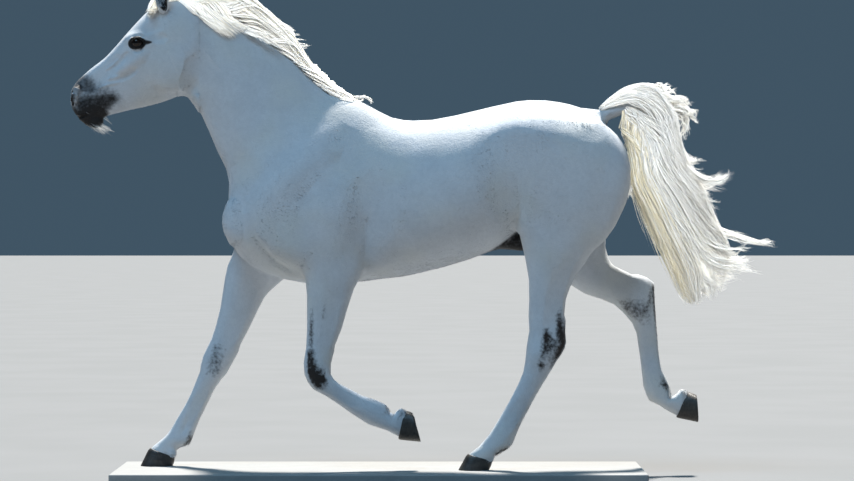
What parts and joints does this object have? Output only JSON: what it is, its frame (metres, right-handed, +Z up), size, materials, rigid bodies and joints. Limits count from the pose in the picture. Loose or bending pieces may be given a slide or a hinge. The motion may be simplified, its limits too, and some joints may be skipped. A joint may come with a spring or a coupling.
{
  "type": "horse",
  "caption": "Life-size grey horse at the trot, blown mane and raised tail, on a low flat base.",
  "frame": {"origin": "middle of the base's underside", "axes": "+Z up, the horse faces -X, its left side is towards -Y"},
  "size_m": [2.8091, 0.74, 2.0269],
  "materials": {
    "coat": "short smooth pale grey coat",
    "muzzle": "dark bare skin under fine hair",
    "long_hair": "long coarse cream hair",
    "hoof": "dull dark horn",
    "eye": "wet dark",
    "base": "matt grey paint"
  },
  "bodies": {
    "root": {"trunk": "coat", "neck": "coat", "head": "coat", "muzzle": "muzzle", "ear_left": "coat", "ear_right": "coat", "eye_left": "eye", "eye_right": "eye", "forelock": "long_hair", "mane": "long_hair", "tail_dock": "coat", "tail_hair": "long_hair", "foreleg_left_forearm": "coat", "foreleg_left_cannon": "coat", "foreleg_left_pastern": "coat", "foreleg_left_hoof": "hoof", "foreleg_right_forearm": "coat", "foreleg_right_cannon": "coat", "foreleg_right_pastern": "coat", "foreleg_right_hoof": "hoof", "hindleg_left_gaskin": "coat", "hindleg_left_cannon": "coat", "hindleg_left_pastern": "coat", "hindleg_left_hoof": "hoof", "hindleg_right_gaskin": "coat", "hindleg_right_cannon": "coat", "hindleg_right_pastern": "coat", "hindleg_right_hoof": "hoof", "stand_base": "base"}
  },
  "joints": []
}
